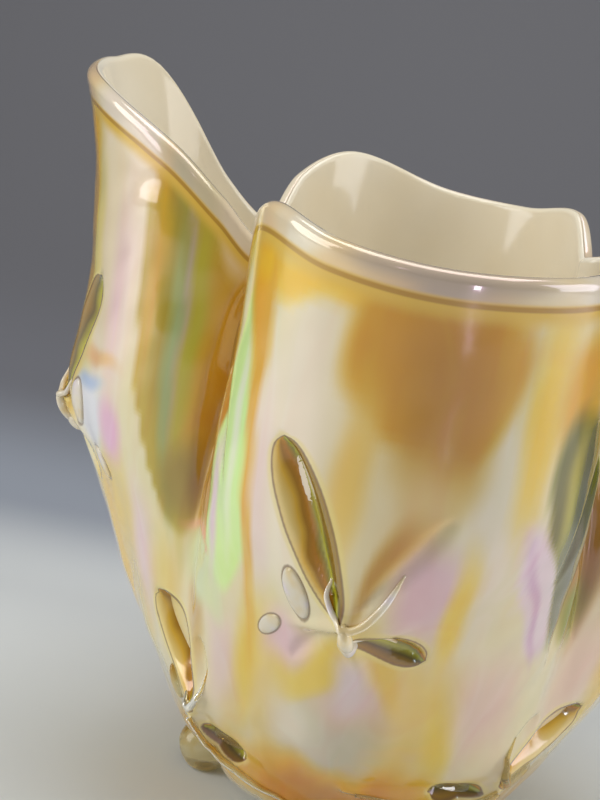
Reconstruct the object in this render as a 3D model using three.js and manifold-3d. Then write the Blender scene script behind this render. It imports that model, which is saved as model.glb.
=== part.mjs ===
/**
 * Hand blown art glass vase.
 *
 * An opal glass liner is cased in amber glass and opened into four lobes with a wavy rim.
 * Clear amber bits are pinched into stars on the lobes and between them, and four pulled
 * feet, ground flat underneath, carry the bowl.
 *
 * Millimetres, +Z up. The origin is the middle of the vase's box, on the surface it
 * stands on. +X is the right lobe, -Y is the front lobe.
 */
import * as THREE from 'three';
import { mergeVertices } from 'three/addons/utils/BufferGeometryUtils.js';
import Module from 'manifold-3d';

const wasm = await Module();
wasm.setup();

// ---------------------------------------------------------------- driving dimensions

const CASING_WALL = 2.6;
const LINER_WALL = 1.2;
const GAP = 0.3;
const LIP_HALF = CASING_WALL / 2;

// Where the blowing axis stands in the frame of the box.
const AXIS = new THREE.Vector2(-0.34, -2.46);

// Underside of the bowl: its flat radius, its height over the table and its kick.
const BASE_RADIUS = 31;
const BASE_HEIGHT = 5.5;
const BASE_KICK = 2;

// Height against how far the lobes reach from the axis, and how far the valleys do.
const LOBE_REACH = [
  [5.5, 31], [8, 36.5], [14, 43.5], [22, 49.2], [34, 55.5], [45, 61.3],
  [75, 74.5], [100, 85.5], [130, 88], [160, 91], [185, 98.5],
];
const VALLEY_REACH = [
  [5.5, 31], [8, 36.5], [14, 43.2], [22, 48.3], [34, 53.6], [45, 57.5],
  [75, 61], [100, 61.5], [130, 59], [160, 57.5], [185, 56],
];

// The lobes: direction round the axis, extra reach at the rim and relative width, then the
// direction and height of the star pinched on the lobe and of the corner pinched after it,
// and the direction of the foot under the lobe.
const LOBES = [
  { name: 'right', direction: 2, reach: -1, width: 1,
    star: [357, 90], corner: [48, 38], foot: 15 },
  { name: 'back', direction: 94, reach: 5, width: 1.1,
    star: [96, 85], corner: [134, 38], foot: 107 },
  { name: 'left', direction: 176, reach: -3, width: 1.03,
    star: [183.5, 96], corner: [230.5, 38], foot: 189 },
  { name: 'front', direction: 270, reach: 0.5, width: 0.92,
    star: [266, 83.5], corner: [305, 38], foot: 283 },
];
const LOBE_FREEDOM = [45, 130];
const CREASE_SOFTNESS = 2.5;

// Height of the rim against the angle round the axis.
const RIM = [
  [0, 172], [19, 173], [34, 160], [47, 145], [58, 156], [73, 154], [90, 155],
  [110, 162], [124, 154], [135, 140.5], [146, 151], [160, 177.5], [172, 177.5],
  [182, 175], [195, 170.5], [210, 161.5], [219, 152], [225.5, 144.5], [232, 148],
  [243, 155.5], [257, 152], [270, 150.5], [285, 151.5], [300, 153.5], [309, 153],
  [316, 147], [324, 158], [341, 171],
];

// Pinched bits: half width and half height of the pad, how far its crest stands out, and how
// deep its furrows run between the four ridges.
const STAR_BIT = { halfWidth: 20, halfHeight: 27, crest: 5.5 };
const CORNER_BIT = { halfWidth: 14, halfHeight: 13, crest: 4 };
const BIT_EDGE = 0.5;
const BIT_RIDGES = 4;
const BIT_FURROW = 0.55;

// Feet: where they stand and their outline from the ground flat upwards.
const FOOT_RADIUS = 38;
const FOOT_OUTLINE = [[5, 0], [6.9, 1.5], [8, 5], [7.6, 9.5], [5.4, 13]];
const FOOT_TOP = 14.5;

// Mesh density.
const STEPS_PER_LOBE = 14;
const UNDERSIDE_ROWS = 3;
const WALL_ROWS = 12;
const ROW_SPREAD = 1.25;
const LIP_STEPS = 4;
const BIT_RINGS = 5;
const BIT_SPOKES = 20;
const FOOT_SIDES = 16;
const FOOT_STEPS = 6;
const SLOPE_STEP = 0.002;
const TURN_STEP = 0.4;
const MERGE_DISTANCE = 1e-4;
// Rows of the solid the feet are cut with, as parts of the way up the outside.
const CLEARANCE_ROWS = [-0.66, -0.33, 0, 0.08, 0.16, 0.25];

// ---------------------------------------------------------------- shape of the glass

const RADIANS = Math.PI / 180;

/** Smooth curve through [x, y] points, by cubic pieces. */
function along(points, x) {
  const last = points.length - 1;
  if (x <= points[0][0]) return points[0][1];
  if (x >= points[last][0]) return points[last][1];
  let i = 0;
  while (x > points[i + 1][0]) i += 1;
  const slope = (k) => {
    const a = points[Math.max(k - 1, 0)];
    const b = points[Math.min(k + 1, last)];
    return (b[1] - a[1]) / (b[0] - a[0]);
  };
  const [x0, y0] = points[i];
  const [x1, y1] = points[i + 1];
  const w = x1 - x0;
  const t = (x - x0) / w;
  const rise = y0 * (1 + 2 * t) * (1 - t) ** 2 + y1 * (3 - 2 * t) * t ** 2;
  return rise + slope(i) * w * t * (1 - t) ** 2 + slope(i + 1) * w * (t - 1) * t ** 2;
}

/** Rim height at an angle in degrees; the curve runs on across 0. */
function rimHeight(angle) {
  const before = RIM.slice(-2).map(([a, z]) => [a - 360, z]);
  const after = RIM.slice(0, 2).map(([a, z]) => [a + 360, z]);
  return along([...before, ...RIM, ...after], THREE.MathUtils.euclideanModulo(angle, 360));
}

/** Radius of the outside of the glass. In plan it is four round lobes that run together. */
function wallRadius(angle, z) {
  const freedom = THREE.MathUtils.clamp(
    (z - LOBE_FREEDOM[0]) / (LOBE_FREEDOM[1] - LOBE_FREEDOM[0]), 0, 1);
  const valley = along(VALLEY_REACH, z);
  const reaches = LOBES.map((lobe) => {
    const reach = along(LOBE_REACH, z) + lobe.reach * freedom;
    const offset = (reach ** 2 - valley ** 2) / (2 * reach - Math.SQRT2 * valley);
    const round = (reach - offset) * (1 + (lobe.width - 1) * freedom);
    const centre = reach - round;
    const turn = (angle - lobe.direction) * RADIANS;
    const inside = round ** 2 - (centre * Math.sin(turn)) ** 2;
    if (Math.cos(turn) <= 0 || inside <= 0) return 0;
    return centre * Math.cos(turn) + Math.sqrt(inside);
  }).sort((a, b) => b - a);
  const blend = Math.max(CREASE_SOFTNESS - (reaches[0] - reaches[1]), 0);
  return reaches[0] + blend ** 2 / (4 * CREASE_SOFTNESS);
}

/** Point on the outside of the wall. */
function wallPoint(angle, z) {
  const radius = wallRadius(angle, z);
  const turn = angle * RADIANS;
  return new THREE.Vector3(radius * Math.cos(turn), radius * Math.sin(turn), z);
}

/** Point on the outside at part t of the way from the middle underneath to the rim. */
function skinPoint(angle, t) {
  if (t < 0) {
    const s = 1 + t;
    const turn = angle * RADIANS;
    const height = BASE_HEIGHT + BASE_KICK * (1 - s * s);
    return new THREE.Vector3(
      BASE_RADIUS * s * Math.cos(turn), BASE_RADIUS * s * Math.sin(turn), height);
  }
  const top = rimHeight(angle) - LIP_HALF;
  return wallPoint(angle, THREE.MathUtils.lerp(BASE_HEIGHT, top, t ** ROW_SPREAD));
}

/** Outward normal, and the way up the wall, at a point of the outside. */
function skinFrame(angle, t) {
  const above = skinPoint(angle, Math.min(t + SLOPE_STEP, 1));
  const up = above.sub(skinPoint(angle, Math.max(t - SLOPE_STEP, -1)));
  const round = skinPoint(angle + TURN_STEP, t).sub(skinPoint(angle - TURN_STEP, t));
  const normal = round.clone().cross(up).normalize();
  return { normal, up: up.normalize() };
}

// ---------------------------------------------------------------- meshes

function closedGeometry(vertices, triangles) {
  const geometry = new THREE.BufferGeometry();
  const position = new Float32Array(vertices.flatMap((v) => [v.x, v.y, v.z]));
  geometry.setAttribute('position', new THREE.BufferAttribute(position, 3));
  geometry.setIndex(triangles);
  return geometry;
}

/**
 * Closed surface from rings of equal length between two end points. The way back splits its
 * squares the same way as the way out, so that neighbouring layers have matching facets.
 */
function geometryFromRings(start, rings, end) {
  const count = rings[0].length;
  const vertices = [start, ...rings.flat(), end];
  const triangles = [];
  const middle = (rings.length - 1) / 2;
  const at = (ring, i) => 1 + ring * count + (i % count);
  for (let i = 0; i < count; i += 1) {
    triangles.push(0, at(0, i + 1), at(0, i));
    for (let ring = 0; ring < rings.length - 1; ring += 1) {
      const a = at(ring, i);
      const b = at(ring, i + 1);
      const c = at(ring + 1, i + 1);
      const d = at(ring + 1, i);
      if (ring < middle) triangles.push(a, b, c, a, c, d);
      else triangles.push(a, b, d, b, c, d);
    }
    triangles.push(vertices.length - 1, at(rings.length - 1, i), at(rings.length - 1, i + 1));
  }
  return closedGeometry(vertices, triangles);
}

/** Angles round the vase, with a step on every valley and every lobe. */
function wallAngles() {
  const angles = [];
  LOBES.forEach((lobe, k) => {
    const next = LOBES[(k + 1) % LOBES.length];
    const span = THREE.MathUtils.euclideanModulo(next.direction - lobe.direction, 360);
    for (let i = 0; i < STEPS_PER_LOBE; i += 1) {
      angles.push(lobe.direction + (span * i) / STEPS_PER_LOBE);
    }
  });
  return angles;
}

/** Glass layer between two depths below the outside of the vase, with a rounded lip. */
function layerGeometry(outerDepth, innerDepth) {
  const angles = wallAngles();
  const heights = [];
  for (let i = 1; i <= UNDERSIDE_ROWS; i += 1) heights.push(i / UNDERSIDE_ROWS - 1);
  for (let i = 1; i <= WALL_ROWS; i += 1) heights.push(i / WALL_ROWS);

  const ringAt = (t, depth) => angles.map((angle) => {
    const { normal } = skinFrame(angle, t);
    return skinPoint(angle, t).addScaledVector(normal, -depth);
  });
  const outside = heights.map((t) => ringAt(t, outerDepth));
  const inside = heights.map((t) => ringAt(t, innerDepth)).reverse();

  const middle = (outerDepth + innerDepth) / 2;
  const half = (innerDepth - outerDepth) / 2;
  const lip = [];
  for (let step = 1; step < LIP_STEPS; step += 1) {
    const bend = (Math.PI * step) / LIP_STEPS;
    lip.push(angles.map((angle) => {
      const { normal, up } = skinFrame(angle, 1);
      return skinPoint(angle, 1)
        .addScaledVector(normal, -middle + half * Math.cos(bend))
        .addScaledVector(up, half * Math.sin(bend));
    }));
  }

  const bottom = skinPoint(0, -1);
  const start = bottom.clone().setZ(bottom.z + outerDepth);
  const end = bottom.clone().setZ(bottom.z + innerDepth);
  return geometryFromRings(start, [...outside, ...lip, ...inside], end);
}

/** Star-shaped pad of clear glass that hugs the wall: ridges run up, down and sideways. */
function bitGeometry([direction, height], bit) {
  const radius = wallRadius(direction, height);
  const place = (ring, spoke, depth) => {
    const turn = (2 * Math.PI * spoke) / BIT_SPOKES;
    const across = (bit.halfWidth * ring * Math.cos(turn)) / BIT_RINGS;
    const z = height + (bit.halfHeight * ring * Math.sin(turn)) / BIT_RINGS;
    const angle = direction + across / (radius * RADIANS);
    const sideways = wallPoint(angle + TURN_STEP, z).sub(wallPoint(angle - TURN_STEP, z));
    const up = wallPoint(angle, z + TURN_STEP).sub(wallPoint(angle, z - TURN_STEP));
    return wallPoint(angle, z).addScaledVector(sideways.cross(up).normalize(), depth);
  };
  const relief = (ring, spoke) => {
    const part = ring / BIT_RINGS;
    const turn = (2 * Math.PI * spoke) / BIT_SPOKES;
    const star = 1 - BIT_FURROW * part * (1 - Math.cos(BIT_RIDGES * turn));
    return GAP + BIT_EDGE + bit.crest * (1 - part * part) ** 2 * star;
  };
  const ring = (number, depthOf) => {
    const points = [];
    for (let spoke = 0; spoke < BIT_SPOKES; spoke += 1) {
      points.push(place(number, spoke, depthOf(number, spoke)));
    }
    return points;
  };
  const back = [];
  const face = [];
  for (let number = 1; number <= BIT_RINGS; number += 1) {
    back.push(ring(number, () => GAP));
    face.unshift(ring(number, relief));
  }
  return geometryFromRings(place(0, 0, GAP), [...back, ...face], place(0, 0, relief(0, 0)));
}

// ---------------------------------------------------------------- solids for cutting

function toSolid(geometry) {
  const plain = geometry.clone();
  plain.deleteAttribute('normal');
  plain.deleteAttribute('uv');
  const merged = mergeVertices(plain, MERGE_DISTANCE);
  return new wasm.Manifold(new wasm.Mesh({
    numProp: 3,
    vertProperties: new Float32Array(merged.attributes.position.array),
    triVerts: new Uint32Array(merged.index.array),
  }));
}

function toGeometry(solid) {
  const mesh = solid.getMesh();
  const geometry = new THREE.BufferGeometry();
  geometry.setAttribute('position', new THREE.BufferAttribute(mesh.vertProperties, 3));
  geometry.setIndex(new THREE.BufferAttribute(mesh.triVerts, 1));
  return geometry;
}

/** The whole vase without its hollow, grown by the gap: what a foot has to stay clear of. */
function clearanceSolid() {
  const angles = wallAngles();
  const rings = CLEARANCE_ROWS.map((t) => angles.map((angle) => {
    const { normal } = skinFrame(angle, t);
    return skinPoint(angle, t).addScaledVector(normal, GAP);
  }));
  const bottom = skinPoint(0, -1);
  const start = bottom.clone().setZ(bottom.z - GAP);
  const end = new THREE.Vector3(0, 0, rings[rings.length - 1][0].z);
  return toSolid(geometryFromRings(start, rings, end));
}

/** Pulled foot: a knob with a ground flat, fitted under the curve of the bowl. */
function footGeometry(direction, bowl) {
  const outline = new THREE.SplineCurve(FOOT_OUTLINE.map(([r, z]) => new THREE.Vector2(r, z)));
  const points = [new THREE.Vector2(0, 0), ...outline.getPoints(FOOT_STEPS)];
  points.push(new THREE.Vector2(0, FOOT_TOP));
  const knob = new THREE.LatheGeometry(points, FOOT_SIDES);
  knob.rotateX(Math.PI / 2);
  const turn = direction * RADIANS;
  knob.translate(FOOT_RADIUS * Math.cos(turn), FOOT_RADIUS * Math.sin(turn), 0);
  return toGeometry(toSolid(knob).subtract(bowl));
}

// ---------------------------------------------------------------- the vase

const amberGlass = () => new THREE.MeshStandardMaterial({
  color: 0xd9a94e, roughness: 0.08, metalness: 0.15, name: 'amber_glass' });
const opalGlass = () => new THREE.MeshStandardMaterial({
  color: 0xded3bd, roughness: 0.12, metalness: 0, name: 'opal_glass' });
const clearAmber = () => new THREE.MeshStandardMaterial({
  color: 0xc9a24a, roughness: 0.05, metalness: 0, name: 'clear_amber_glass' });

const vase = new THREE.Group();

function addPiece(name, geometry, material) {
  const piece = new THREE.Mesh(geometry, material);
  piece.name = name;
  piece.position.set(AXIS.x, AXIS.y, 0);
  vase.add(piece);
}

const linerOutside = CASING_WALL + GAP;
addPiece('amber_casing', layerGeometry(0, CASING_WALL), amberGlass());
addPiece('opal_liner', layerGeometry(linerOutside, linerOutside + LINER_WALL), opalGlass());

const bowl = clearanceSolid();
LOBES.forEach((lobe, k) => {
  const next = LOBES[(k + 1) % LOBES.length];
  addPiece(`pinched_star_${lobe.name}`, bitGeometry(lobe.star, STAR_BIT), clearAmber());
  addPiece(`pinched_corner_${lobe.name}_${next.name}`,
    bitGeometry(lobe.corner, CORNER_BIT), clearAmber());
  addPiece(`foot_${lobe.name}`, footGeometry(lobe.foot, bowl), clearAmber());
});

export default vase;
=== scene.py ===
"""Hand blown art glass vase: looks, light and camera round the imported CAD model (metres)."""
import math

import bpy
import numpy as np
from mathutils import Matrix, Vector


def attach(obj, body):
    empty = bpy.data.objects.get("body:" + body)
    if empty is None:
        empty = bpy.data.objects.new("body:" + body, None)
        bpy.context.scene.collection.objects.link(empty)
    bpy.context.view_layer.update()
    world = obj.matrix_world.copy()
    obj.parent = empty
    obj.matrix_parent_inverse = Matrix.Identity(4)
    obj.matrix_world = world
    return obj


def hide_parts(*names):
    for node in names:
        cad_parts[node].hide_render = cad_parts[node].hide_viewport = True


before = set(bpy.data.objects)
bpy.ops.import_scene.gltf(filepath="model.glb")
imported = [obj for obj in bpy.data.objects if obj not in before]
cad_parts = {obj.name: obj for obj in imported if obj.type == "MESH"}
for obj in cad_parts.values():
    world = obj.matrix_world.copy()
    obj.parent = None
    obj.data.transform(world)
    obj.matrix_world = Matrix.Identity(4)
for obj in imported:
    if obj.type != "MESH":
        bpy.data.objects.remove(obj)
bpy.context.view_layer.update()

MM = 0.001

# ------------------------------------------------------------------ the glass, in millimetres

# Where the axis of the bowl stands in the frame.
AXIS = np.array([-0.34, -2.46])
# Thickness of the casing, of both layers together, and the gap between them.
CASING_WALL = 2.6
WALL = 4.1
SEAM = 0.1
# How far the wall stops below the top of the rounded lip.
LIP_HALF = 1.3
# The underside: its radius, its height over the floor, and how much its middle rises.
BASE_RADIUS = 31.0
BASE_HEIGHT = 5.5
BASE_KICK = 2.0
# The feet: distance from the axis, and the direction of each.
FOOT_RADIUS = 38.0
FEET = [("right", 15), ("back", 107), ("left", 189), ("front", 283)]

# Distance from the axis at each height, at the middle of a lobe and at the fold between two.
LOBE_REACH = [(5.5, 31), (8, 36.5), (14, 43.5), (22, 49.2), (34, 55.5), (45, 61.3),
              (75, 74.5), (100, 85.5), (130, 88), (160, 91), (185, 98.5)]
VALLEY_REACH = [(5.5, 31), (8, 36.5), (14, 43.2), (22, 48.3), (34, 53.6), (45, 57.5),
                (75, 61), (100, 61.5), (130, 59), (160, 57.5), (185, 56)]
# Lobes: name, direction, extra reach at the rim, relative width.
LOBES = [("right", 2, -1, 1.0), ("back", 94, 5, 1.1), ("left", 176, -3, 1.03),
         ("front", 270, 0.5, 0.92)]
# Heights between which the lobes come to differ from one another.
LOBE_FREEDOM = (45, 130)
CREASE_SOFTNESS = 2.5
# Height of the rim at each angle.
RIM = [(0, 172), (19, 173), (34, 160), (47, 145), (58, 156), (73, 154), (90, 155),
       (110, 162), (124, 154), (135, 140.5), (146, 151), (160, 177.5), (172, 177.5),
       (182, 175), (195, 170.5), (210, 161.5), (219, 152), (225.5, 144.5), (232, 148),
       (243, 155.5), (257, 152), (270, 150.5), (285, 151.5), (300, 153.5), (309, 153),
       (316, 147), (324, 158), (341, 171)]

# Rows lie closer together low down.
ROW_SPREAD = 1.25
# Steps over which the slope of the surface is taken.
SLOPE_STEP = 0.002
TURN_STEP = 0.2
TINY = 1e-9


def along(points, x):
    """Smooth curve through (x, y) points, by cubic pieces, for an array of x."""
    px = np.array([p[0] for p in points], float)
    py = np.array([p[1] for p in points], float)
    low = np.maximum(np.arange(len(px)) - 1, 0)
    high = np.minimum(np.arange(len(px)) + 1, len(px) - 1)
    slope = (py[high] - py[low]) / (px[high] - px[low])
    x = np.clip(x, px[0], px[-1])
    i = np.clip(np.searchsorted(px, x, side="right") - 1, 0, len(px) - 2)
    w = px[i + 1] - px[i]
    t = (x - px[i]) / w
    rise = py[i] * (1 + 2 * t) * (1 - t) ** 2 + py[i + 1] * (3 - 2 * t) * t ** 2
    return rise + slope[i] * w * t * (1 - t) ** 2 + slope[i + 1] * w * (t - 1) * t ** 2


def rim_height(angle):
    """Height of the rim, as a closed smooth curve through its points."""
    before = [(a - 360, z) for a, z in RIM[-2:]]
    after = [(a + 360, z) for a, z in RIM[:2]]
    return along(before + RIM + after, np.mod(angle, 360.0))


def wall_radius(angle, z):
    """Radius of the outside of the glass: in plan, four round lobes that run together."""
    freedom = np.clip((z - LOBE_FREEDOM[0]) / (LOBE_FREEDOM[1] - LOBE_FREEDOM[0]), 0, 1)
    valley = along(VALLEY_REACH, z)
    reaches = []
    for _, direction, extra, width in LOBES:
        reach = along(LOBE_REACH, z) + extra * freedom
        offset = (reach ** 2 - valley ** 2) / (2 * reach - math.sqrt(2) * valley)
        round_ = (reach - offset) * (1 + (width - 1) * freedom)
        centre = reach - round_
        turn = np.radians(angle - direction)
        inside = round_ ** 2 - (centre * np.sin(turn)) ** 2
        seen = (np.cos(turn) > 0) & (inside > 0)
        reaches.append(np.where(seen, centre * np.cos(turn) + np.sqrt(np.maximum(inside, 0)), 0))
    reaches = np.sort(np.stack(reaches), axis=0)
    blend = np.maximum(CREASE_SOFTNESS - (reaches[-1] - reaches[-2]), 0)
    return reaches[-1] + blend ** 2 / (4 * CREASE_SOFTNESS)


def wall_point(angle, z):
    """Point of the outside at an angle and a height."""
    radius = wall_radius(angle, z)
    turn = np.radians(angle)
    return np.stack([radius * np.cos(turn), radius * np.sin(turn), z + 0 * radius], -1)


def skin_point(angle, t):
    """Outside of the vase: t runs from -1 in the middle underneath, by 0, to 1 at the rim."""
    turn = np.radians(angle)
    s = 1 + np.minimum(t, 0)
    under = np.stack([BASE_RADIUS * s * np.cos(turn), BASE_RADIUS * s * np.sin(turn),
                      BASE_HEIGHT + BASE_KICK * (1 - s * s)], -1)
    top = rim_height(angle) - LIP_HALF
    height = BASE_HEIGHT + (top - BASE_HEIGHT) * np.maximum(t, 0) ** ROW_SPREAD
    return np.where((t < 0)[..., None], under, wall_point(angle, height))


def unit(v):
    """The same directions, one long."""
    return v / np.maximum(np.linalg.norm(v, axis=-1, keepdims=True), TINY)


def skin_frame(angle, t):
    """Outward normal and the way up, at points of the outside."""
    above = skin_point(angle, np.minimum(t + SLOPE_STEP, 1))
    below = skin_point(angle, np.maximum(t - SLOPE_STEP, -1))
    up = above - below
    round_ = skin_point(angle + TURN_STEP, t) - skin_point(angle - TURN_STEP, t)
    return unit(np.cross(round_, up)), unit(up)


# ------------------------------------------------------------------ pinched relief

# Pinched stars on the lobes: name, angle, height, mirrored (-1) or not (1), size, lean in degrees.
STARS = [("front", 266.0, 83.5, 1, 1.0, 0), ("left", 183.5, 96.0, -1, 1.05, 0),
         ("back", 96.0, 85.0, 1, 1.0, 0), ("right", 357.0, 90.0, -1, 1.0, 0)]
# Pinched corners between the lobes, in the same way.
CORNERS = [("right_back", 48.0, 38.0, -1, 1.0, 0), ("back_left", 134.0, 38.0, 1, 1.0, -20),
           ("left_front", 230.5, 39.0, 1, 1.1, -6), ("front_right", 306.0, 37.0, -1, 1.05, -28)]


def local(angle, z, spot):
    """Millimetres across and up from a pinch, along the surface."""
    _, a0, z0, side, size, lean = spot
    radius = wall_radius(np.array(a0), np.array(z0))
    turn = np.mod(angle - a0 + 180, 360) - 180
    across = side * np.radians(turn) * radius / size
    up = (z - z0) / size
    c, s = math.cos(math.radians(lean)), math.sin(math.radians(lean))
    return across * c - up * s, across * s + up * c


SCOOP_FULLNESS = 0.72
FINEST_HALF = 0.3


def scoop(x, y, start, end, width):
    """Millimetres inside the edge of a scoop, and how far across it: 1 is its left side.

    Both ends of a scoop are round, and it is widest a little past its middle.
    """
    run = np.subtract(end, start)
    length = math.hypot(*run)
    u = ((x - start[0]) * run[0] + (y - start[1]) * run[1]) / length ** 2
    v = ((y - start[1]) * run[0] - (x - start[0]) * run[1]) / length
    open_ = np.clip(u, 0, 1)
    half = SCOOP_FULLNESS * width * open_ ** 0.5 * np.sqrt(1 - open_ ** 3)
    beyond = np.abs(u - open_) * length
    return half - np.hypot(v, beyond), np.clip(v / np.maximum(half, FINEST_HALF), -1, 1)


def bead_edge(x, y, bead):
    """Millimetres outside the edge of a drop of glass; negative under the drop."""
    (x0, y0), long, wide, turn = bead
    c, s = math.cos(math.radians(turn)), math.sin(math.radians(turn))
    lengthwise = (x - x0) * c + (y - y0) * s
    across = (y - y0) * c - (x - x0) * s
    return (np.hypot(lengthwise / long, across / wide) - 1) * wide


def crest(x, y, points, width):
    """Soft ridge of a given width along a line of points, fading to its end."""
    best = np.zeros_like(x)
    for (x0, y0, h0), (x1, y1, h1) in zip(points, points[1:]):
        dx, dy = x1 - x0, y1 - y0
        t = np.clip(((x - x0) * dx + (y - y0) * dy) / (dx * dx + dy * dy), 0, 1)
        gap = np.hypot(x - x0 - t * dx, y - y0 - t * dy)
        best = np.maximum(best, (h0 + t * (h1 - h0)) * np.exp(-(gap / width) ** 2))
    return best


# Hollows: where they start and end, in millimetres from the pinch, width, depth, and whether they get
# the darker amber of a hollow with its painted light and shade.
STAR_HOLLOWS = [((-1.0, -0.5), (-17.0, 31), 10.5, 3.8, True), ((1.0, 0.5), (15.5, 23), 7.0, 1.3, False),
                ((1.5, -4.0), (17, -11.0), 7.4, 2.8, True), ((-3, -4), (-12, -17), 5.0, 1.0, False)]
CORNER_HOLLOWS = [((0.8, -1.0), (-12.5, 20), 11.5, 5.2, True), ((4.5, 3.0), (2.0, 15), 6.0, 1.2, False),
                  ((2.0, -4.0), (10.5, -11.5), 4.6, 2.4, True),
                  ((-2, -3), (-22, -33), 22.0, 4.2, False)]
# Folds between the lobes, in the same way as the stars; the height is that of the lower end.
FOLDS = [("right_back", 48.0, 74.0, -1, 1.0, 0), ("back_left", 135.0, 76.0, 1, 1.0, 0),
         ("left_front", 226.5, 77.0, 1, 1.0, 0), ("front_right", 313.0, 67.0, -1, 1.05, 0)]
FOLD_HOLLOWS = [((5.5, -2.0), (1.0, 66), 13.0, 3.0, False), ((-3.5, 1.0), (-1.0, 60), 9.0, 2.2, False),
                ((16.0, 20.0), (5.0, 66), 6.0, 1.2, False)]
# Drops of a star: middle, half length, half width, direction of the length in degrees.
STAR_BEADS = [((-10.4, 0.6), 5.6, 2.8, 108), ((-18.0, -11.6), 4.2, 1.9, 45)]
# Ridges: points (across, up, height of the ridge), and the width of the ridge.
STAR_RIDGES = [
    ([(-1.5, 1.5, 1.2), (0.5, -0.5, 2.2), (3.5, 2.0, 2.0), (6.0, 6.5, 1.2), (7.5, 11, 0)], 1.1),
    ([(0, 0, 2.4), (1.0, -5.5, 1.6), (4.0, -14, 0.6), (8.0, -22, 0)], 1.4),
    ([(0, -1, 1.8), (-7, -5.5, 1.0), (-14, -9, 0)], 1.4),
    ([(1, -4, 1.5), (8, -3, 0.7), (14, -1, 0)], 1.2)]
CORNER_RIDGES = [
    ([(0, -2, 2.4), (3, -10, 2.4), (12, -15, 2.2), (26, -21, 1.2)], 1.6),
    ([(0, 0, 2.0), (-5, -7, 1.8), (-10, -16, 1.4), (-14, -26, 0.8)], 2.2),
    ([(0, 0, 2.0), (4, 3.5, 1.2), (5.2, 8.5, 0)], 0.9)]
# Each kind of pinch: its spots, how far the glass is drawn out there and over what width and
# height, its hollows and its ridges.
PINCHES = [(STARS, 4.6, (13.0, 17.0), STAR_HOLLOWS, STAR_RIDGES),
           (CORNERS, 3.0, (10.0, 10.0), CORNER_HOLLOWS, CORNER_RIDGES),
           (FOLDS, 0.0, (10.0, 10.0), FOLD_HOLLOWS, ())]
PEAK_ROUNDING = 0.02
PEAK_SHARPNESS = 1.6
# The rounded belly below a star: half width, half height, how far down, share of the star's height.
BELLY_WIDTH, BELLY_HEIGHT, BELLY_DROP, BELLY_SHARE = 17, 21, 33, 0.45
# Slow waves in the surface: height, and how each of the two sines runs round and up.
WAVES = [(0.16, (22, 0.11), (-9, 0.19)), (0.07, (47, -0.23), (15, 0.34))]
# Millimetres that stand for "no hollow here" and "no drop here".
NO_HOLLOW = -3.0
NO_DROP = 5.0


def relief(angle, z):
    """How far the outside stands out; the inset and slant of the hollows; the edge of the drops."""
    height = np.zeros_like(angle)
    hollow = np.full_like(angle, NO_HOLLOW)
    slant = np.zeros_like(angle)
    bead = np.full_like(angle, NO_DROP)
    for spots, peak, (wide, high), hollows, ridges in PINCHES:
        for spot in spots:
            x, y = local(angle, z, spot)
            if spots is STARS:
                belly = (x / BELLY_WIDTH) ** 2 + ((y + BELLY_DROP) / BELLY_HEIGHT) ** 2
                height += BELLY_SHARE * peak * np.exp(-belly ** 2)
                for drop in STAR_BEADS:
                    bead = np.minimum(bead, bead_edge(x, y, drop))
            away = np.sqrt((x / wide) ** 2 + (y / high) ** 2 + PEAK_ROUNDING)
            height += peak * np.exp(-away ** PEAK_SHARPNESS)
            for start, end, width, depth, amber_and_painted_shade in hollows:
                inset, side = scoop(x, y, start, end, width)
                part = np.clip(inset / (width / 2), 0, 1)
                height -= depth * part * part * (3 - 2 * part)
                # hollows with amber and painted shade keep their inset and side, which steer that
                # painting
                if amber_and_painted_shade:
                    slant = np.where(inset > hollow, side, slant)
                    hollow = np.maximum(hollow, inset)
            ridge = np.zeros_like(x)
            for points, width in ridges:
                ridge = np.maximum(ridge, crest(x, y, points, width))
            height += ridge
    rad = np.radians(angle)
    for size, first, second in WAVES:
        height += size * np.sin(first[0] * rad + first[1] * z) * np.sin(second[1] * z + second[0] * rad)
    return height, hollow, slant, bead


# ------------------------------------------------------------------ colour in the glass, and light painted on it

GROUND = "E6DBBC"
RICHNESS = 1.35
DARKEST, LIGHTEST = 0.01, 0.98
# The outline of a streak lies between an ellipse (2) and a box.
SQUARENESS = 2.4
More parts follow.
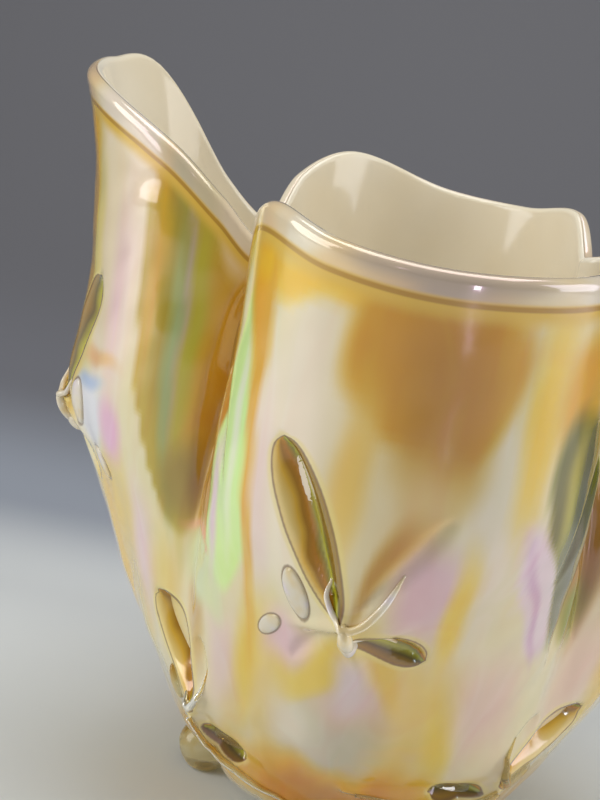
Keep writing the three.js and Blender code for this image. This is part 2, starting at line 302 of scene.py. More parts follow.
# Streaks and clouds of colour, laid over one another on a cream ground. The colours are the glass's own
# amber, cream and pastels, but where they lie is largely painted light: painted reflections of the lit
# floor and of the dark room, painted highlights, and painted shade in the folds and low down. Each is a
# colour, the angle and height of its middle, its half width in degrees, its half height in millimetres,
# its lean (degrees to the side per millimetre up), its taper (how much wider the top is) and the
# softness of its edge. The same glass comes round twice, so the angles repeat every half turn.
STREAKS_AND_PAINTED_LIGHT = [
    # belly: pearl painted reflection in the middle, a painted highlight at its left, and amber painted
    # reflection of the shade under the bowl low down
    ("DDBE66", 267, 48, 17, 24, 0, 0.1, 0.5), ("CFC6B6", 265, 45, 11, 14, 0, 0.1, 0.7),
    ("E6DCCB", 258, 46, 5, 10, 0.1, 0, 0.9), ("E2CCC6", 268, 60, 7, 6, 0, 0, 0.9),
    ("DEC45C", 262, 68, 3, 10, 0.5, 0, 0.9),
    ("DDC25A", 287, 48, 3.0, 16, -0.12, 0, 0.9), ("E2CABE", 294, 58, 6, 12, -0.2, 0, 0.8),
    ("DDC462", 247, 60, 3, 18, 0.25, 0, 0.9), ("E2CFC8", 240, 56, 4, 12, 0, 0, 0.8),
    ("D9BE6A", 203, 66, 4.5, 24, -0.1, 0, 0.8), ("E7D0CF", 209, 66, 3.5, 14, 0, 0, 0.8),
    ("DFC98A", 216, 62, 4, 12, 0, 0, 0.8), ("E3CDBC", 320, 60, 8, 12, 0, 0, 0.8),
    ("D8B650", 333, 66, 5, 22, 0, 0, 0.9), ("DDB744", 196, 58, 4, 42, -0.04, 0, 0.8),
    ("D6A63C", 268, 29, 26, 7, 0, 0, 0.7), ("B87F24", 268, 22, 24, 8, 0, 0, 0.6),
    ("D9B050", 215, 20, 28, 9, 0, 0, 0.7), ("CFA03E", 320, 20, 26, 10, 0, 0, 0.7),
    # lobe that faces left, from its far side to the fold: the pearl band is a painted reflection of the
    # lit floor, and the olive and amber beyond it a painted reflection of the dark room
    ("D8AC30", 185, 138, 9, 46, 0, 0, 0.25), ("EBDDC6", 201.4, 140, 7.7, 42, 0, 0.02, 0.14),
    ("E9CFD0", 203, 125, 2.2, 22, 0, 0, 0.9), ("E6D79A", 194, 128, 2.0, 30, 0, 0, 0.9),
    ("B09C48", 217, 121, 8.6, 43, -0.07, 0.12, 0.05), ("C2A03A", 210, 140, 1.3, 26, 0, 0, 0.6),
    ("9C8A38", 213.2, 136, 1.7, 28, -0.02, 0, 0.6), ("97A579", 215.4, 116, 1.3, 28, -0.06, 0, 0.8),
    ("B3A8B4", 216.6, 122, 0.7, 24, -0.06, 0, 0.8), ("A9A646", 218.4, 112, 1.5, 30, -0.05, 0, 0.7),
    ("BE9C3C", 222, 118, 2.4, 30, 0, 0, 0.7), ("8C7C3C", 219.5, 88, 4.2, 8, 0, 0, 0.6),
    ("E2CDA2", 222, 144, 2.6, 8, -0.2, 0, 0.5),
    # the pinch on that lobe: its pale, pink and blue spots are painted reflections
    ("E8E6EA", 195, 96, 6, 9, 0, 0, 0.5), ("E4BBD0", 202, 92, 3, 7, 0.1, 0, 0.6),
    ("B4C2DA", 196, 103, 4, 1.5, 0, 0, 0.9), ("E0B98C", 199, 109, 5, 1.8, 0.4, 0, 0.8),
    # fold between the left and the front lobe: the mint and near-white streaks are painted reflections
    ("B08643", 229, 100, 5, 46, 0, 0, 0.4), ("BC8E48", 236, 118, 3.5, 30, 0.02, 0, 0.4),
    ("D7DDB2", 232, 72, 9, 8.5, 0, 0, 0.35), ("DCA98C", 232, 79.6, 8.5, 1.3, 0, 0, 0.6),
    ("D6F0A6", 242.0, 108, 5.2, 33, 0.07, -0.8, 0.08), ("EAD0D8", 237.6, 92, 1.3, 14, 0.06, 0, 0.8),
    ("F0F4D8", 244.0, 112, 1.0, 20, 0.05, 0, 0.9),
    # lobe that faces the front: the pearl clouds are painted reflections of the lit floor, the amber
    # patch high up a painted reflection of the dark room in front, and the dark band at the lip a
    # painted reflection
    ("D8A428", 246, 139, 2.6, 18, -0.1, 0, 0.5), ("EFE4D2", 254.5, 112, 5.4, 32, 0, 0, 0.5),
    ("EAD6CF", 250.5, 100, 2.2, 20, 0, 0, 0.8), ("E3BC48", 262, 145.5, 20, 4.2, 0, 0, 0.5),
    ("E4D8C4", 283, 108, 4.5, 28, 0, 0, 0.6), ("E2C050", 286.5, 126, 2.4, 20, 0, 0, 0.7),
    ("C2962C", 271.5, 133, 11.4, 15.5, 0, 0.06, 0.16), ("AD8424", 273.5, 127, 5.5, 17, 0, 0, 0.6),
    ("D6BE88", 273, 104, 3.2, 12, 0.05, 0, 0.7), ("E0C37A", 264, 110, 2.0, 14, 0, 0, 0.8),
    ("DDC2C2", 276, 89, 4.0, 11, 0, 0, 0.5), ("DEC25A", 281, 86, 1.6, 13, -0.05, 0, 0.7),
    ("E6C9CC", 256, 70, 4.5, 7, 0.2, 0, 0.7), ("DFC36A", 262, 66, 2.2, 9, 0.45, 0, 0.7),
    ("B08A3C", 270, 94, 1.2, 9, 0.26, 0.5, 0.8), ("DFC06A", 273, 66, 2.0, 9, -0.3, 0, 0.7),
    ("E8D8D8", 267.5, 66, 2.6, 8, 0, 0, 0.7),
    ("86682A", 271, 151, 13, 3.4, 0, 0, 0.5), ("D2A23A", 248.0, 108, 1.1, 40, 0, 0, 0.6),
    # fold between the front and the right lobe: the dark olive band is painted shade in the fold, with
    # a pale pink painted reflection at its left
    ("D4A534", 293, 131, 4, 13, 0, 0, 0.5), ("66661E", 299.5, 101, 8.2, 27, -0.12, 0, 0.12),
    ("484C16", 301, 100, 4.2, 19, -0.1, 0, 0.7), ("A9A24A", 295, 112, 1.4, 14, 0, 0, 0.8),
    ("E6D4D8", 294.5, 86, 4.0, 17, -0.36, 0, 0.2), ("D0B0C4", 294.0, 84, 0.9, 14, -0.36, 0, 0.7),
    ("A1824A", 314, 88, 5, 18, 0, 0, 0.4), ("7F8236", 313, 77, 4, 6, 0, 0, 0.5),
    # near side of the right lobe: the pale cloud is a painted reflection
    ("BE9A3C", 329, 130, 8, 40, 0, 0, 0.2), ("98A070", 325.5, 118, 1.4, 30, 0, 0, 0.8),
    ("EADCCB", 346, 130, 8.5, 40, 0, 0, 0.3),
]


def srgb(hex_colour):
    """Red, green and blue of a hex colour, from 0 to 1."""
    return np.array([int(hex_colour[i:i + 2], 16) / 255 for i in (0, 2, 4)])


def to_linear(values):
    """sRGB values as linear light."""
    return np.where(values <= 0.04045, values / 12.92, ((values + 0.055) / 1.055) ** 2.4)


def colour_and_painted_light(angle, z):
    """Colour of the amber and pearl skin, with its painted reflections, highlights and shade, as sRGB
    values.
    """
    colour = np.tile(srgb(GROUND), angle.shape + (1,))
    rad = np.radians(angle)
    # The edges of the streaks wander a little, to the sides and up and down.
    angle = angle + 0.5 * np.sin(z * 0.09 + 8 * rad) + 0.2 * np.sin(z * 0.31 - 14 * rad)
    z = z + 1.6 * np.sin(16 * rad + z * 0.05) + 0.8 * np.sin(38 * rad - z * 0.1)
    for shade, a0, z0, wide, high, lean, taper, soft in STREAKS_AND_PAINTED_LIGHT:
        turn = np.mod(angle - a0 - lean * (z - z0) + 90, 180) - 90
        up = (z - z0) / high
        across = turn / (wide * np.clip(1 + taper * up, 0.1, 2))
        reach = (np.abs(across) ** SQUARENESS + np.abs(up) ** SQUARENESS) ** (1 / SQUARENESS)
        share = np.clip((1 + soft - reach) / (2 * soft), 0, 1)
        share = share * share * (3 - 2 * share)
        colour += (srgb(shade) - colour) * share[..., None]
    grey = colour.mean(-1, keepdims=True)
    return np.clip(grey + (colour - grey) * RICHNESS, DARKEST, LIGHTEST)


# ------------------------------------------------------------------ meshes

def mesh_object(name, vertices, faces):
    mesh = bpy.data.meshes.new(name)
    mesh.from_pydata(vertices.tolist(), [], faces)
    mesh.update()
    mesh.shade_smooth()
    piece = bpy.data.objects.new(name, mesh)
    bpy.context.scene.collection.objects.link(piece)
    return piece


def ring_faces(rings, count):
    """Faces of a closed surface: first vertex, rings of equal length, last vertex."""

    def at(ring, i):
        return 1 + ring * count + i % count

    faces = []
    last = 1 + rings * count
    for i in range(count):
        faces.append((0, at(0, i + 1), at(0, i)))
        faces.append((last, at(rings - 1, i), at(rings - 1, i + 1)))
    for ring in range(rings - 1):
        for i in range(count):
            faces.append((at(ring, i), at(ring, i + 1), at(ring + 1, i + 1), at(ring + 1, i)))
    return faces


def add_attribute(piece, name, values):
    layer = piece.data.attributes.new(name, "FLOAT", "POINT")
    layer.data.foreach_set("value", np.asarray(values, np.float32))


def add_colour(piece, name, values):
    """Stores sRGB colours as a linear colour attribute."""
    layer = piece.data.attributes.new(name, "FLOAT_COLOR", "POINT")
    rgba = np.concatenate([to_linear(values), np.ones((len(values), 1))], axis=1)
    layer.data.foreach_set("color", rgba.astype(np.float32).ravel())


def with_ends(rings):
    """Values of the rings, with one more value for each of the two closing vertices."""
    return np.concatenate([rings[0][:1], *rings, rings[-1][:1]])


# Columns are closer together within PINCH_REACH degrees of a pinch, and the change takes
# PINCH_EDGE degrees. The relief fades out over the last RELIEF_FADE millimetres below the lip.
FINE_STEP = 0.25
PINCH_REACH = 17
PINCH_EDGE = 4
RELIEF_FADE = 12


def dense_angles(columns):
    """Angles round the vase, twice as close together where the glass is pinched."""
    fine = np.arange(0, 360, FINE_STEP)
    weight = np.ones_like(fine)
    for spot in STARS + CORNERS:
        turn = np.abs(np.mod(fine - spot[1] + 180, 360) - 180)
        weight += np.clip((PINCH_REACH - turn) / PINCH_EDGE, 0, 1)
    total = np.concatenate([[0], np.cumsum(weight)])
    wanted = np.arange(columns) * total[-1] / columns
    return np.interp(wanted, total, np.arange(len(total)) * FINE_STEP)


def layer_object(name, columns, rows):
    """Closed glass layer; each row is (t, depth, lift, carved): where it lies on the skin."""
    angles = dense_angles(columns)
    rings, rims, hollows, slants, beads, colours = [], [], [], [], [], []
    for t, depth, lift, carved in rows:
        ts = np.full_like(angles, t)
        normal, up = skin_frame(angles, ts)
        point = skin_point(angles, ts)
        stand, slant = np.zeros_like(angles), np.zeros_like(angles)
        hollow, bead = np.full_like(angles, NO_HOLLOW), np.full_like(angles, NO_DROP)
        if carved:
            stand, hollow, slant, bead = relief(angles, point[:, 2])
            fade = np.clip((rim_height(angles) - LIP_HALF - point[:, 2]) / RELIEF_FADE, 0, 1)
            stand = stand * fade
        rings.append(point + normal * (stand - depth)[:, None] + up * lift)
        rims.append(rim_height(angles) - point[:, 2] - lift)
        hollows.append(hollow)
        slants.append(slant)
        beads.append(bead)
        # the streak colours, with their painted reflections, highlights and shade
        colours.append(colour_and_painted_light(angles, point[:, 2]))
    first, last = rings[0].mean(0), rings[-1].mean(0)
    points = np.concatenate([[first], *rings, [last]])
    points[:, :2] += AXIS
    piece = mesh_object(name, points * MM, ring_faces(len(rows), columns))
    add_attribute(piece, "rim", with_ends(rims))
    # the hollows' inset and side, and the drops' edge, steer the painted light and shade round the
    # pinches
    add_attribute(piece, "hollow", with_ends(hollows))
    add_attribute(piece, "slant", with_ends(slants))
    add_attribute(piece, "bead", with_ends(beads))
    add_colour(piece, "tint", with_ends(colours))
    return piece


# How high the lip is rounded, and how far round it the amber gives way to the opal.
LIP_LIFT = 1.9
LIP_SEAM = math.radians(110)
CASING_COLUMNS = 480
LINER_COLUMNS = 400
DENSE_TO = 0.80


def lip_row(bend):
    """Row on the rounded lip; bend runs from 0 outside to half a turn inside."""
    return (1.0, WALL / 2 * (1 - math.cos(bend)), LIP_LIFT * math.sin(bend), False)


def casing_rows():
    """Rows of the amber casing: underneath, up the carved outside, over the lip, down inside."""
    rows = [(t, 0.0, 0.0, False) for t in np.linspace(-0.96, -0.04, 14)]
    rows += [(t, 0.0, 0.0, True) for t in np.linspace(0, DENSE_TO, 150)]
    rows += [(t, 0.0, 0.0, True) for t in np.linspace(DENSE_TO, 1, 20)[1:]]
    rows += [lip_row(bend) for bend in np.linspace(0, LIP_SEAM, 9)[1:]]
    rows += [(1.0, CASING_WALL, 0.9, False), (1.0, CASING_WALL, 0.0, False)]
    rows += [(t, CASING_WALL, 0.0, False) for t in np.linspace(0.97, 0, 12)]
    rows += [(t, CASING_WALL, 0.0, False) for t in (-0.4, -0.9)]
    return rows


def liner_rows():
    """Rows of the opal lining: up behind the casing, over the lip, down the smooth inside."""
    outer = CASING_WALL + SEAM
    rows = [(t, outer, 0.0, False) for t in (-0.9, -0.4, 0, 0.2, 0.4, 0.6, 0.8, 0.96, 1.0)]
    rows += [(1.0, outer, 1.0, False)]
    rows += [lip_row(bend) for bend in np.linspace(LIP_SEAM + 0.06, math.pi, 7)]
    rows += [(t, WALL, 0.0, False) for t in np.linspace(0.993, 0, 110)]
    rows += [(t, WALL, 0.0, False) for t in np.linspace(-0.06, -0.96, 12)]
    return rows


casing = layer_object("amber_casing_fine", CASING_COLUMNS, casing_rows())
liner = layer_object("opal_liner_fine", LINER_COLUMNS, liner_rows())
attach(casing, "root")
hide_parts("amber_casing")
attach(liner, "root")
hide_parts("opal_liner")


# ------------------------------------------------------------------ clear glass bits

HEIGHT_STEP = 0.5
ANGLE_STEP = 0.4
THREAD_SIDES = 12
DROP_ROWS = 14
DROP_SPOKES = 36
# How deep a drop sits in the wall, its height as a share of its half width, how full its
# sides are, and how far its top overhangs its underside, so that the two don't coincide.
DROP_SINK = 0.5
DROP_HEIGHT = 0.3
DROP_FULLNESS = 0.8
DROP_OVERHANG = 1.001


class Builder:
    """Collects closed bits of glass that lie on the wall, in one mesh."""

    def __init__(self, spot):
        self.spot = spot
        self.vertices = []
        self.faces = []

    def place(self, x, y, lift):
        """Point on the carved wall at local x, y, raised by lift; all arrays."""
        _, a0, z0, side, size, lean = self.spot
        radius = wall_radius(np.array(a0), np.array(z0))
        c, s = math.cos(math.radians(lean)), math.sin(math.radians(lean))
        x, y = x * c + y * s, y * c - x * s
        angle = a0 + side * np.degrees(x * size / radius)
        z = z0 + y * size
        point = wall_point(angle, z)
        up = wall_point(angle, z + HEIGHT_STEP) - wall_point(angle, z - HEIGHT_STEP)
        round_ = wall_point(angle + ANGLE_STEP, z) - wall_point(angle - ANGLE_STEP, z)
        stand = relief(angle, z)[0]
        return point + unit(np.cross(round_, up)) * (stand + lift)[:, None]

    def add(self, rings):
        """Closed surface over rings of equal length; its ends are capped at their middles."""
        start = len(self.vertices)
        count = len(rings[0])
        points = np.concatenate([[rings[0].mean(0)], *rings, [rings[-1].mean(0)]])
        self.vertices += list(points)
        flip = self.spot[3] < 0
        for face in ring_faces(len(rings), count):
            face = tuple(start + i for i in face)
            self.faces.append(face[::-1] if flip else face)

    def thread(self, points, steps=40):
        """Rounded thread of glass through (x, y, radius, lift) points."""
        points = np.array(points, float)
        keys = np.linspace(0, 1, len(points))
        t = np.linspace(0, 1, steps)
        x, y, radius, lift = (along(list(zip(keys, points[:, k])), t) for k in range(4))
        spine = self.place(x, y, lift)
        tangent = unit(np.gradient(spine, axis=0))
        out = unit(self.place(x, y, lift + 1) - spine)
        across = unit(np.cross(tangent, out))
        turn = 2 * math.pi * np.arange(THREAD_SIDES) / THREAD_SIDES
        rings = []
        for k in range(steps):
            circle = np.cos(turn)[:, None] * across[k] + np.sin(turn)[:, None] * out[k]
            rings.append(spine[k] + radius[k] * circle)
        self.add(rings)

    def drop(self, centre, long, wide, turn, height, point=0.0):
        """Smooth lens of glass on the wall; point pulls one end out to a tip."""
        angle = 2 * math.pi * np.arange(DROP_SPOKES) / DROP_SPOKES
        tip = 1 + point * np.maximum(np.cos(angle), 0) ** 3
        u = long * np.cos(angle) * tip
        v = wide * np.sin(angle) * (1 - 0.45 * point * np.cos(angle))
        x = u * math.cos(turn) - v * math.sin(turn)
        y = u * math.sin(turn) + v * math.cos(turn)
        layers = []
        for part in np.linspace(0.12, 1, DROP_ROWS):
            under = np.full(DROP_SPOKES, -DROP_SINK)
            layers.append(self.place(centre[0] + x * part, centre[1] + y * part, under))
        for part in np.linspace(1, 0.08, DROP_ROWS):
            lift = height * math.sqrt(max(1 - part ** 2, 0.0)) ** DROP_FULLNESS
            layers.append(self.place(centre[0] + x * part * DROP_OVERHANG,
                                     centre[1] + y * part * DROP_OVERHANG,
                                     np.full(DROP_SPOKES, lift)))
        self.add(layers)

    def finish(self, name):
        points = np.array(self.vertices)
        points[:, :2] += AXIS
        return mesh_object(name, points * MM, self.faces)


# Threads of clear glass: across, up, radius and lift at each point.
STAR_CREST = [(-3.8, 6.0, 0.25, 0.1), (-4.0, 3.2, 0.55, 0.4), (-1.6, 0.6, 0.7, 0.6),
              (1.6, 0.5, 0.8, 0.6), (5.0, 3.4, 0.8, 0.6), (7.2, 7.0, 0.6, 0.4), (8.8, 10.5, 0.2, 0.0)]
STAR_STEM = [(0.2, 0.8, 0.7, 0.5), (0.8, -2.0, 1.5, 0.9), (1.2, -5.0, 1.3, 0.7), (1.4, -6.6, 0.4, 0.2)]
STAR_WHISKER = [(1.4, -4.0, 0.4, 0.2), (5.5, -5.4, 0.6, 0.3), (10.5, -8.4, 0.35, 0.1)]
CORNER_CREST = [(-3.0, 1.2, 0.3, 0.1), (-0.6, 0.2, 1.1, 0.6), (1.8, 1.0, 0.9, 0.6),
                (4.2, 4.2, 0.6, 0.3), (5.0, 8.8, 0.2, 0.0)]
CORNER_TAIL = [(0.4, -2.0, 0.7, 0.3), (2.6, -8.6, 0.9, 0.3), (10.5, -14.4, 0.9, 0.3),
               (24, -20.4, 0.5, 0.0)]
SHORT_STEPS = 24


def pinched_star(spot):
    """Clear crest, stem, whisker and drops over the hollows of a star."""
    glass = Builder(spot)
    glass.thread(STAR_CREST)
    glass.thread(STAR_STEM, steps=SHORT_STEPS)
    glass.thread(STAR_WHISKER, steps=SHORT_STEPS)
    for middle, long, wide, turn in STAR_BEADS:
        glass.drop(middle, long, wide, math.radians(turn), DROP_HEIGHT * wide)
    glass.drop((0.9, -6.6), 2.0, 2.0, 0.0, 1.6)
    return glass.finish("star_glass_" + spot[0])


def pinched_corner(spot):
    """Clear crest, tail and drops over the hollows of a corner."""
    glass = Builder(spot)
    glass.thread(CORNER_CREST)
    glass.thread(CORNER_TAIL)
    glass.drop((-8.4, 0.6), 3.4, 1.7, math.radians(105), 1.3, point=0.2)
    glass.drop((6.2, -7.8), 3.6, 1.3, math.radians(-42), 1.0, point=0.2)
    return glass.finish("corner_glass_" + spot[0])


# Half outline of a foot: radius and height, from the middle of its ground flat to its top.
FOOT_OUTLINE = [(0.0, 0.0), (2.5, 0.0), (4.4, 0.02), (5.0, 0.25), (5.8, 1.1), (6.7, 2.8),
                (7.1, 5.0), (7.0, 7.0), (6.4, 8.8), (5.3, 10.4), (3.6, 11.6), (1.7, 12.2)]
FOOT_SPOKES = 40
FOOT_ROWS = 44
# How far a foot is from round: longer outwards from the vase, and a little three-sided.
FOOT_STRETCH = 0.10
FOOT_UNEVENNESS = 0.03
ROUND_BELOW = 6


def pulled_foot(name, direction):
    """Knob with a ground flat underneath, melted into the curve of the bowl."""
    turn = 2 * math.pi * np.arange(FOOT_SPOKES) / FOOT_SPOKES
    steps = np.linspace(0, 1, len(FOOT_OUTLINE))
    t = np.linspace(0.05, 1, FOOT_ROWS)
    radius = along(list(zip(steps, [r for r, _ in FOOT_OUTLINE])), t)
    height = along(list(zip(steps, [z for _, z in FOOT_OUTLINE])), t)
    at = math.radians(direction)
    centre = np.array([FOOT_RADIUS * math.cos(at), FOOT_RADIUS * math.sin(at)]) + AXIS
    rings = []
    for r, z in zip(radius, height):
        stretch = FOOT_STRETCH * np.cos(2 * (turn - at)) * min(z / ROUND_BELOW, 1)
        squeeze = 1 + stretch + FOOT_UNEVENNESS * np.sin(3 * turn + direction)
        x = centre[0] + r * squeeze * np.cos(turn)
        y = centre[1] + r * squeeze * np.sin(turn)
        rings.append(np.stack([x, y, np.full(FOOT_SPOKES, z)], -1))
    points = np.concatenate([[rings[0].mean(0)], *rings, [rings[-1].mean(0)]])
    return mesh_object("foot_glass_" + name, points * MM, ring_faces(len(rings), FOOT_SPOKES))


clear_pieces = []
for spot in STARS:
    clear_pieces.append((pinched_star(spot), "pinched_star_" + spot[0]))
for spot in CORNERS:
    clear_pieces.append((pinched_corner(spot), "pinched_corner_" + spot[0]))
for foot_name, direction in FEET:
    clear_pieces.append((pulled_foot(foot_name, direction), "foot_" + foot_name))
for piece, node in clear_pieces:
    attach(piece, "root")
    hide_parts(node)


# ------------------------------------------------------------------ materials

# The rainbow film, with its thickness in nanometres.
FILM_IOR = 1.6
FILM_THINNEST, FILM_THICKEST = 180, 480


def linear(hex_colour):
    """A hex colour as a node socket takes it."""
    return tuple(to_linear(srgb(hex_colour)).tolist()) + (1.0,)


class Nodes:
    """Small helper for building a material's nodes."""

    def __init__(self, name):
        self.material = bpy.data.materials.new(name)
        self.material.use_nodes = True
        self.tree = self.material.node_tree
        self.shader = self.tree.nodes["Principled BSDF"]

    def add(self, kind, **values):
        node = self.tree.nodes.new(kind)
        for key, value in values.items():
            setattr(node, key, value)
        return node

    def link(self, source, target):
        self.tree.links.new(source, target)

    def set(self, **values):
        for key, value in values.items():
            self.shader.inputs[key.replace("_", " ")].default_value = value

    def attribute(self, name):
        return self.add("ShaderNodeAttribute", attribute_name=name).outputs["Fac"]

    def math(self, operation, *values):
        node = self.add("ShaderNodeMath", operation=operation)
        for socket, value in zip(node.inputs, values):
            if isinstance(value, (int, float)):
                socket.default_value = value
            else:
                self.link(value, socket)
        return node.outputs[0]

    def ramp(self, factor, stops, smooth=True):
        node = self.add("ShaderNodeValToRGB")
        node.color_ramp.interpolation = "EASE" if smooth else "LINEAR"
        elements = node.color_ramp.elements
        while len(elements) < len(stops):
            elements.new(0.5)
        for element, (place, colour) in zip(elements, stops):
            element.position = place
            element.color = linear(colour)
        self.link(factor, node.inputs[0])
        return node.outputs[0]

    def mix(self, factor, a, b, mode="MIX"):
        node = self.add("ShaderNodeMix", data_type="RGBA", blend_type=mode)
        for index, value in ((0, factor), (6, a), (7, b)):
            if isinstance(value, str):
                node.inputs[index].default_value = linear(value)
            elif isinstance(value, (int, float)):
                node.inputs[index].default_value = value
            else:
                self.link(value, node.inputs[index])
        return node.outputs[2]

    def noise(self, scale, stretch=(1, 1, 1), detail=3.0, distortion=0.0):
        place = self.add("ShaderNodeTexCoord").outputs["Object"]
        mapping = self.add("ShaderNodeMapping")
        mapping.inputs["Scale"].default_value = stretch
        self.link(place, mapping.inputs["Vector"])
        node = self.add("ShaderNodeTexNoise")
        node.inputs["Scale"].default_value = scale
        node.inputs["Detail"].default_value = detail
        node.inputs["Distortion"].default_value = distortion
        self.link(mapping.outputs[0], node.inputs["Vector"])
        return node.outputs["Fac"]

    def band(self, value, low, high):
        """0 below low, 1 above high."""
        node = self.add("ShaderNodeMapRange", clamp=True, interpolation_type="SMOOTHSTEP")
        node.inputs["From Min"].default_value = low
        node.inputs["From Max"].default_value = high
        self.link(value, node.inputs["Value"])
        return node.outputs["Result"]


def pinch_colours(m, colour, wisps):
    """Amber in the hollows, painted lighter on one side and darker on the other and in the depth as
    painted light and shade, with a painted shade line along the edge and a painted highlight just
    outside it; pale pearl under the drops, partly painted light, with a painted shade ring round them.

    The bands are in millimetres from the edge of a hollow or of a drop.
    """
    hollow = m.attribute("hollow")
    drift = m.math("MULTIPLY_ADD", m.noise(90, detail=1), 0.7, -0.35)
    across = m.band(m.math("ADD", m.attribute("slant"), drift), 1.0, -1.0)
    # amber across the hollow, with painted light on one side and painted shade on the other
    bowl = m.ramp(across, [(0.0, "F6DC90"), (0.14, "EEBE3C"), (0.26, "B88410"), (0.4, "D08E10"),
                           (0.55, "98900E"), (0.7, "C0BC2C"), (0.86, "645408"), (1.0, "A07810")],
                  smooth=False)
    # darker towards the bottom of a deep hollow: painted shade
    bowl = m.mix(m.math("MULTIPLY", m.band(hollow, 2.0, 5.0), 0.25), bowl, "6A4A0C")
    # dark line just inside the edge of a hollow: painted shade
    outline = m.math("MULTIPLY", m.band(hollow, -0.25, 0.1), m.band(hollow, 0.6, 0.2))
    # pale line just outside the edge of a hollow: painted highlight
    painted_edge_highlight = m.math("MULTIPLY", m.band(hollow, -1.6, -0.5), m.band(hollow, 0.2, -0.2))
    colour = m.mix(m.math("MULTIPLY", painted_edge_highlight, 0.6), colour, "F2DE8A")
    colour = m.mix(m.band(hollow, -0.2, 0.5), colour, bowl)
    colour = m.mix(m.math("MULTIPLY", outline, 0.7), colour, "6A4210")
    bead = m.attribute("bead")
    # pale pearl under the drops: their lilac and mint, made paler as painted light
    pearl = m.ramp(wisps, [(0.4, "F2E8F4"), (0.6, "F0F4E0")])
    colour = m.mix(m.math("MULTIPLY", m.band(bead, 0.1, -0.4), 0.8), colour, pearl)
    # dark ring round the edge of each drop: painted shade
    ring = m.math("MULTIPLY", m.band(bead, 0.45, 0.15), m.band(bead, -0.35, -0.05))
    return m.mix(m.math("MULTIPLY", ring, 0.8), colour, "7A5A3C")


def rim_colours(m, colour, tint):
    """Gold below the lip, a brown line, and the pale lip, which takes half the streak colour and with
    it the painted reflection at the front of the lip; in millimetres below the rim.
    """
    rim = m.attribute("rim")
    colour = m.mix(m.band(rim, 9.0, 5.5), colour, "EAC04A")
    edge = m.math("MULTIPLY", m.band(rim, 5.4, 5.0), m.band(rim, 3.9, 4.5))
    colour = m.mix(m.math("MULTIPLY", edge, 0.7), colour, "A87416")
    return m.mix(m.band(rim, 4.4, 3.4), colour, m.mix(0.5, "EFE4D8", tint))


def iridescent_amber():
    """The amber skin: the streaks with their painted light, a faint painted rainbow sheen and a real
    rainbow film on them, under a clear gloss.
    """
    m = Nodes("iridescent_amber_glass")
    tint = m.add("ShaderNodeAttribute", attribute_name="tint").outputs["Color"]
    wisps = m.noise(60, (1, 1, 0.3), detail=2, distortion=0.7)
    # painted rainbow sheen, in pastel wisps laid softly over the streaks
    film = m.ramp(wisps, [(0.30, "C8A860"), (0.38, "E0D0B0"), (0.46, "E0B0A8"), (0.53, "E8E0D0"),
                          (0.60, "C0D0A0"), (0.68, "E0C070"), (0.76, "D0B0D0")])
    colour = m.mix(0.22, tint, film, "SOFT_LIGHT")
    colour = pinch_colours(m, colour, wisps)
    colour = rim_colours(m, colour, tint)
    m.link(colour, m.shader.inputs["Base Color"])
    m.set(Roughness=0.15, IOR=1.5, Coat_Weight=1.0, Coat_Roughness=0.02, Coat_IOR=1.5)
    m.shader.inputs["Thin Film IOR"].default_value = FILM_IOR
    nanometres = m.add("ShaderNodeMapRange")
    nanometres.inputs["To Min"].default_value = FILM_THINNEST
    nanometres.inputs["To Max"].default_value = FILM_THICKEST
    m.link(m.noise(16, (1, 1, 0.5), detail=1, distortion=0.5), nanometres.inputs["Value"])
    m.link(nanometres.outputs[0], m.shader.inputs["Thin Film Thickness"])
    return m.material


def opal():
    """Cream opal lining, a little cloudy."""
    m = Nodes("cream_opal_glass")
    colour = m.ramp(m.noise(22, detail=2), [(0.3, "F0E4C8"), (0.7, "F8F0DC")])
    m.link(colour, m.shader.inputs["Base Color"])
    m.set(Roughness=0.12, IOR=1.5)
    return m.material


def clear_glass(name, shades, clearness):
    """Glass of the bits and feet; clearness is the share of light that goes through."""
    m = Nodes(name)
    colour = m.ramp(m.noise(120, detail=2), shades)
    m.link(colour, m.shader.inputs["Base Color"])
    m.set(Roughness=0.02, IOR=1.5, Transmission_Weight=clearness)
    return m.material


casing.data.materials.append(iridescent_amber())
liner.data.materials.append(opal())
pale = clear_glass("clear_pale_glass",
                   [(0.35, "F8E0A8"), (0.5, "FAEFD8"), (0.65, "F6EAF0")], 0.2)
amber = clear_glass("clear_amber_glass_fine",
                    [(0.35, "E8BC50"), (0.5, "F6E2A0"), (0.6, "FAF0C8")], 0.75)
for piece, node in clear_pieces:
    piece.data.materials.append(pale if node.startswith("pinched_star") else amber)


# ------------------------------------------------------------------ stage

SWEEP_HALF_WIDTH = 1.6
SWEEP_FRONT = -1.6
SWEEP_BACK = 0.75
SWEEP_BEND = 0.5
SWEEP_TOP = 1.8
SWEEP_STEPS = 12


def sweep_profile():
    """Floor, quarter circle and wall, as (y, z) points."""
    start = SWEEP_BACK - SWEEP_BEND
    profile = [(SWEEP_FRONT, 0.0), (start, 0.0)]
    for step in range(1, SWEEP_STEPS + 1):
        turn = math.pi / 2 * step / SWEEP_STEPS
        profile.append((start + SWEEP_BEND * math.sin(turn), SWEEP_BEND - SWEEP_BEND * math.cos(turn)))
    profile.append((SWEEP_BACK, SWEEP_TOP))
    return profile


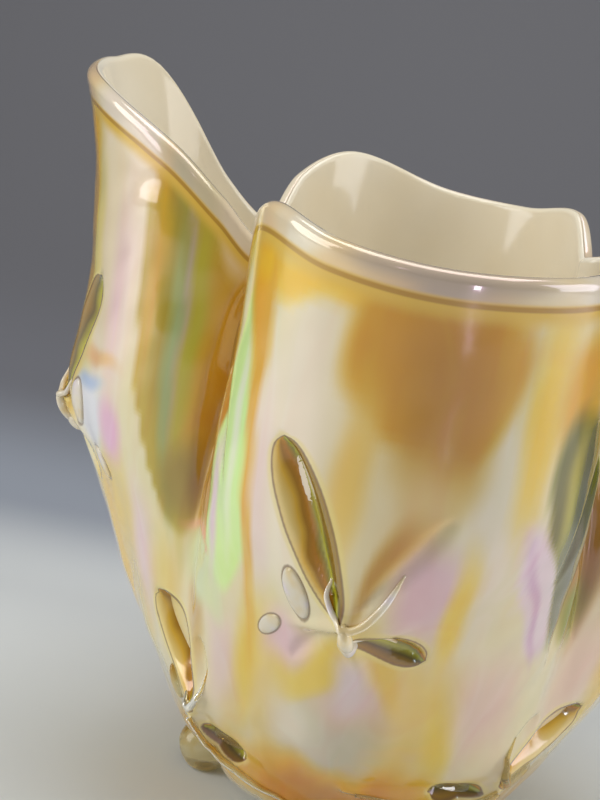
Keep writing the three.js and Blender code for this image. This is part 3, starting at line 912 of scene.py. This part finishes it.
def sweep_material():
    """Pale near the vase, and greyer towards the back and up the wall."""
    m = Nodes("stage_grey")
    place = m.add("ShaderNodeTexCoord").outputs["Object"]
    split = m.add("ShaderNodeSeparateXYZ")
    m.link(place, split.inputs[0])
    far = m.math("ADD", split.outputs["Y"], split.outputs["Z"])
    colour = m.ramp(m.band(far, 0.0, 0.6), [(0.0, "DADEDE"), (0.05, "CACECF"), (0.18, "8F959F"),
                                            (0.6, "6A6B71"), (1.0, "626266")])
    m.link(colour, m.shader.inputs["Base Color"])
    m.set(Roughness=0.7)
    return m.material


def make_stage():
    """Pale floor that runs up into a grey backdrop in one sweep."""
    vertices, faces = [], []
    profile = sweep_profile()
    for y, z in profile:
        vertices += [(-SWEEP_HALF_WIDTH, y, z), (SWEEP_HALF_WIDTH, y, z)]
    for i in range(len(profile) - 1):
        faces.append((2 * i, 2 * i + 1, 2 * i + 3, 2 * i + 2))
    floor = mesh_object("stage_sweep", np.array(vertices), faces)
    floor.data.materials.append(sweep_material())


LIGHT_TARGET = (0, 0, 0.1)
# Name, place, width and height, power.
LIGHTS = [("left_window", (-0.9, -0.25, 0.45), (0.5, 0.9), 5.6),
          ("right_window", (0.9, -0.15, 0.45), (0.5, 0.9), 4.6),
          ("top_softbox", (0.0, 0.15, 1.1), (0.8, 0.6), 6),
          ("front_spark", (-0.25, -0.75, 0.55), (0.02, 0.05), 0.12),
          ("floor_spark", (0.22, -0.62, 0.06), (0.04, 0.08), 0.15)]
WORLD_GREY = (0.30, 0.30, 0.31, 1)
WORLD_STRENGTH = 0.6


def make_lights():
    """Rectangular lights that face the vase, in an evenly lit grey room."""
    for name, place, size, power in LIGHTS:
        light = bpy.data.lights.new(name, "AREA")
        light.shape = "RECTANGLE"
        light.size, light.size_y = size
        light.energy = power
        lamp = bpy.data.objects.new(name, light)
        lamp.location = place
        aim = Vector(LIGHT_TARGET) - Vector(place)
        lamp.rotation_euler = aim.to_track_quat("-Z", "Y").to_euler()
        bpy.context.scene.collection.objects.link(lamp)
    world = bpy.data.worlds.new("studio")
    world.use_nodes = True
    world.node_tree.nodes["Background"].inputs[0].default_value = WORLD_GREY
    world.node_tree.nodes["Background"].inputs[1].default_value = WORLD_STRENGTH
    bpy.context.scene.world = world


# The camera: yaw, pitch and roll in degrees, its place in millimetres from the vase's axis, and
# its lens in millimetres.
CAMERA_YAW, CAMERA_PITCH, CAMERA_ROLL = -4.77, 13.7, 9.14
CAMERA_PLACE = (-3.37, -295.3, 174.51)
CAMERA_LENS = 54


def make_camera():
    """Camera a little above the vase, close to it and tilted."""
    yaw, pitch, roll = (math.radians(v) for v in (CAMERA_YAW, CAMERA_PITCH, CAMERA_ROLL))
    level = math.cos(pitch)
    forward = Vector((math.sin(yaw) * level, math.cos(yaw) * level, -math.sin(pitch)))
    right = Vector((math.cos(yaw), -math.sin(yaw), 0))
    up = right.cross(forward)
    right_rolled = right * math.cos(roll) + up * math.sin(roll)
    up_rolled = up * math.cos(roll) - right * math.sin(roll)
    x, y, z = CAMERA_PLACE
    place = Vector((x + AXIS[0], y + AXIS[1], z)) * MM
    data = bpy.data.cameras.new("camera")
    data.lens = CAMERA_LENS
    data.clip_start = 0.01
    camera = bpy.data.objects.new("camera", data)
    turn = Matrix((right_rolled, up_rolled, -forward)).transposed()
    camera.matrix_world = Matrix.Translation(place) @ turn.to_4x4()
    bpy.context.scene.collection.objects.link(camera)
    bpy.context.scene.camera = camera


make_stage()
make_lights()
make_camera()
bpy.context.scene.view_settings.view_transform = "Standard"
